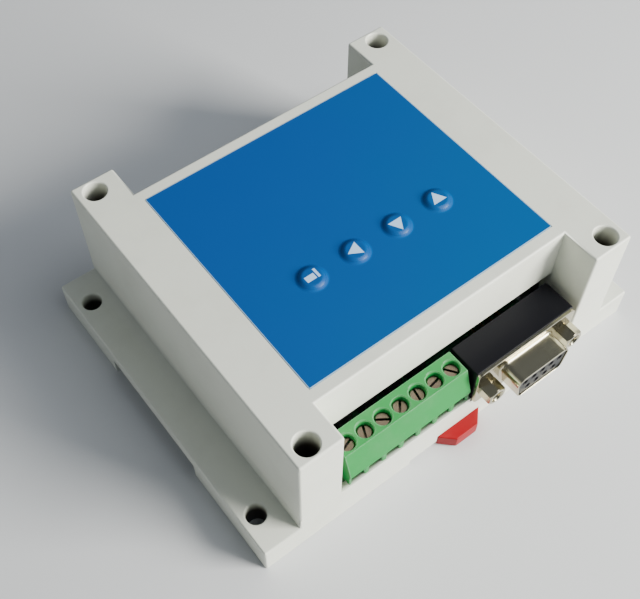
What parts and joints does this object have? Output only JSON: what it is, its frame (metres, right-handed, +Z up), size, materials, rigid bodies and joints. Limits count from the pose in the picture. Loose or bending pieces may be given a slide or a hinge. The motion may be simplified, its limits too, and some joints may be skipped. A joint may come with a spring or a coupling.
{
  "type": "stepper driver module",
  "caption": "Boxed motor driver with a blue key panel between two raised bars, a green screw terminal, a nine-way serial socket, mounting ears and a rail clip.",
  "frame": {"origin": "centre of the four ear holes, on the underside that rests on the panel", "axes": "+X across the two bars, towards the serial socket end; +Y along the bars, away from the terminals; +Z up, out of the key panel"},
  "size_m": [0.115, 0.0968, 0.0409],
  "materials": {
    "housing_plastic": "fine moulded texture",
    "zinc_steel": "zinc plated",
    "overlay_blue": "satin film",
    "black_plastic": "moulded gloss",
    "switch_metal": "rolled",
    "board_green": "solder mask",
    "terminal_green": "moulded satin",
    "tinned_copper": "tinned",
    "plated_shell": "tin with a yellow passivate",
    "gold_brass": "flash plated",
    "chip_epoxy": "moulded epoxy",
    "heatsink_aluminium": "extruded",
    "ferrite": "pressed ferrite",
    "can_sleeve": "heat-shrunk sleeve",
    "ceramic_tan": "fired ceramic",
    "clip_red": "moulded satin",
    "terminal_screw_steel": "passivated, worn slots",
    "clamp_nickel": "nickel over brass"
  },
  "bodies": {
    "housing": {"base": "housing_plastic", "cover": "housing_plastic", "cover_screws": "zinc_steel", "label_overlay": "overlay_blue", "key_switches": "switch_metal", "keypad_board": "board_green", "keypad_screws": "zinc_steel", "header_pins_strip": "black_plastic", "header_socket": "black_plastic", "main_board": "board_green", "board_screws": "zinc_steel", "terminal_housing": "terminal_green", "terminal_contacts": "tinned_copper", "dsub_shell": "plated_shell", "dsub_insert": "black_plastic", "dsub_body": "black_plastic", "dsub_contacts": "gold_brass", "dsub_jackscrews": "plated_shell", "dsub_board_locks": "tinned_copper", "driver_chip": "chip_epoxy", "heatsink": "heatsink_aluminium", "heatsink_screws": "zinc_steel", "microcontroller": "chip_epoxy", "transceiver_chip": "chip_epoxy", "optocouplers": "chip_epoxy", "voltage_regulator": "chip_epoxy", "power_inductor": "ferrite", "bulk_capacitors": "can_sleeve", "crystal": "switch_metal", "sense_resistors": "chip_epoxy", "input_fuse": "black_plastic", "chip_parts": "ceramic_tan"},
    "enter_key": {"key_enter": "overlay_blue", "plunger_enter": "black_plastic"},
    "left_key": {"key_left": "overlay_blue", "plunger_left": "black_plastic"},
    "down_key": {"key_down": "overlay_blue", "plunger_down": "black_plastic"},
    "up_key": {"key_up": "overlay_blue", "plunger_up": "black_plastic"},
    "way_1_screw": {"terminal_screw_1": "terminal_screw_steel"},
    "way_1_clamp": {"wire_clamp_1": "clamp_nickel"},
    "way_2_screw": {"terminal_screw_2": "terminal_screw_steel"},
    "way_2_clamp": {"wire_clamp_2": "clamp_nickel"},
    "way_3_screw": {"terminal_screw_3": "terminal_screw_steel"},
    "way_3_clamp": {"wire_clamp_3": "clamp_nickel"},
    "way_4_screw": {"terminal_screw_4": "terminal_screw_steel"},
    "way_4_clamp": {"wire_clamp_4": "clamp_nickel"},
    "way_5_screw": {"terminal_screw_5": "terminal_screw_steel"},
    "way_5_clamp": {"wire_clamp_5": "clamp_nickel"},
    "way_6_screw": {"terminal_screw_6": "terminal_screw_steel"},
    "way_6_clamp": {"wire_clamp_6": "clamp_nickel"},
    "way_7_screw": {"terminal_screw_7": "terminal_screw_steel"},
    "way_7_clamp": {"wire_clamp_7": "clamp_nickel"},
    "clip": {"rail_clip": "clip_red"}
  },
  "joints": [
    {"name": "enter_key_press", "type": "slide", "parent": "housing", "child": "enter_key", "axis": [0, 0, -1], "range_m": [0, 0.0005], "stiffness_N_per_m": 400, "springref_m": -0.0005},
    {"name": "left_key_press", "type": "slide", "parent": "housing", "child": "left_key", "axis": [0, 0, -1], "range_m": [0, 0.0005], "stiffness_N_per_m": 400, "springref_m": -0.0005},
    {"name": "down_key_press", "type": "slide", "parent": "housing", "child": "down_key", "axis": [0, 0, -1], "range_m": [0, 0.0005], "stiffness_N_per_m": 400, "springref_m": -0.0005},
    {"name": "up_key_press", "type": "slide", "parent": "housing", "child": "up_key", "axis": [0, 0, -1], "range_m": [0, 0.0005], "stiffness_N_per_m": 400, "springref_m": -0.0005},
    {"name": "way_1_screw_turn", "type": "hinge", "parent": "housing", "child": "way_1_screw", "pos_m": [-0.03126, -0.04, 0.02], "axis": [0, 0, 1], "range_deg": [-1800, 0]},
    {"name": "way_1_clamp_rise", "type": "slide", "parent": "housing", "child": "way_1_clamp", "axis": [0, 0, 1], "range_m": [0, 0.00225]},
    {"name": "way_2_screw_turn", "type": "hinge", "parent": "housing", "child": "way_2_screw", "pos_m": [-0.02618, -0.04, 0.02], "axis": [0, 0, 1], "range_deg": [-1800, 0]},
    {"name": "way_2_clamp_rise", "type": "slide", "parent": "housing", "child": "way_2_clamp", "axis": [0, 0, 1], "range_m": [0, 0.00225]},
    {"name": "way_3_screw_turn", "type": "hinge", "parent": "housing", "child": "way_3_screw", "pos_m": [-0.0211, -0.04, 0.02], "axis": [0, 0, 1], "range_deg": [-1800, 0]},
    {"name": "way_3_clamp_rise", "type": "slide", "parent": "housing", "child": "way_3_clamp", "axis": [0, 0, 1], "range_m": [0, 0.00225]},
    {"name": "way_4_screw_turn", "type": "hinge", "parent": "housing", "child": "way_4_screw", "pos_m": [-0.01602, -0.04, 0.02], "axis": [0, 0, 1], "range_deg": [-1800, 0]},
    {"name": "way_4_clamp_rise", "type": "slide", "parent": "housing", "child": "way_4_clamp", "axis": [0, 0, 1], "range_m": [0, 0.00225]},
    {"name": "way_5_screw_turn", "type": "hinge", "parent": "housing", "child": "way_5_screw", "pos_m": [-0.01094, -0.04, 0.02], "axis": [0, 0, 1], "range_deg": [-1800, 0]},
    {"name": "way_5_clamp_rise", "type": "slide", "parent": "housing", "child": "way_5_clamp", "axis": [0, 0, 1], "range_m": [0, 0.00225]},
    {"name": "way_6_screw_turn", "type": "hinge", "parent": "housing", "child": "way_6_screw", "pos_m": [-0.00586, -0.04, 0.02], "axis": [0, 0, 1], "range_deg": [-1800, 0]},
    {"name": "way_6_clamp_rise", "type": "slide", "parent": "housing", "child": "way_6_clamp", "axis": [0, 0, 1], "range_m": [0, 0.00225]},
    {"name": "way_7_screw_turn", "type": "hinge", "parent": "housing", "child": "way_7_screw", "pos_m": [-0.00078, -0.04, 0.02], "axis": [0, 0, 1], "range_deg": [-1800, 0]},
    {"name": "way_7_clamp_rise", "type": "slide", "parent": "housing", "child": "way_7_clamp", "axis": [0, 0, 1], "range_m": [0, 0.00225]},
    {"name": "clip_pull", "type": "slide", "parent": "housing", "child": "clip", "axis": [0, -1, 0], "range_m": [0, 0.005], "stiffness_N_per_m": 800, "springref_m": -0.002}
  ],
  "couplings": [
    {"joint": "way_1_screw_turn", "follows": "way_1_clamp_rise", "rad_per_m": -13963},
    {"joint": "way_2_screw_turn", "follows": "way_2_clamp_rise", "rad_per_m": -13963},
    {"joint": "way_3_screw_turn", "follows": "way_3_clamp_rise", "rad_per_m": -13963},
    {"joint": "way_4_screw_turn", "follows": "way_4_clamp_rise", "rad_per_m": -13963},
    {"joint": "way_5_screw_turn", "follows": "way_5_clamp_rise", "rad_per_m": -13963},
    {"joint": "way_6_screw_turn", "follows": "way_6_clamp_rise", "rad_per_m": -13963},
    {"joint": "way_7_screw_turn", "follows": "way_7_clamp_rise", "rad_per_m": -13963}
  ]
}
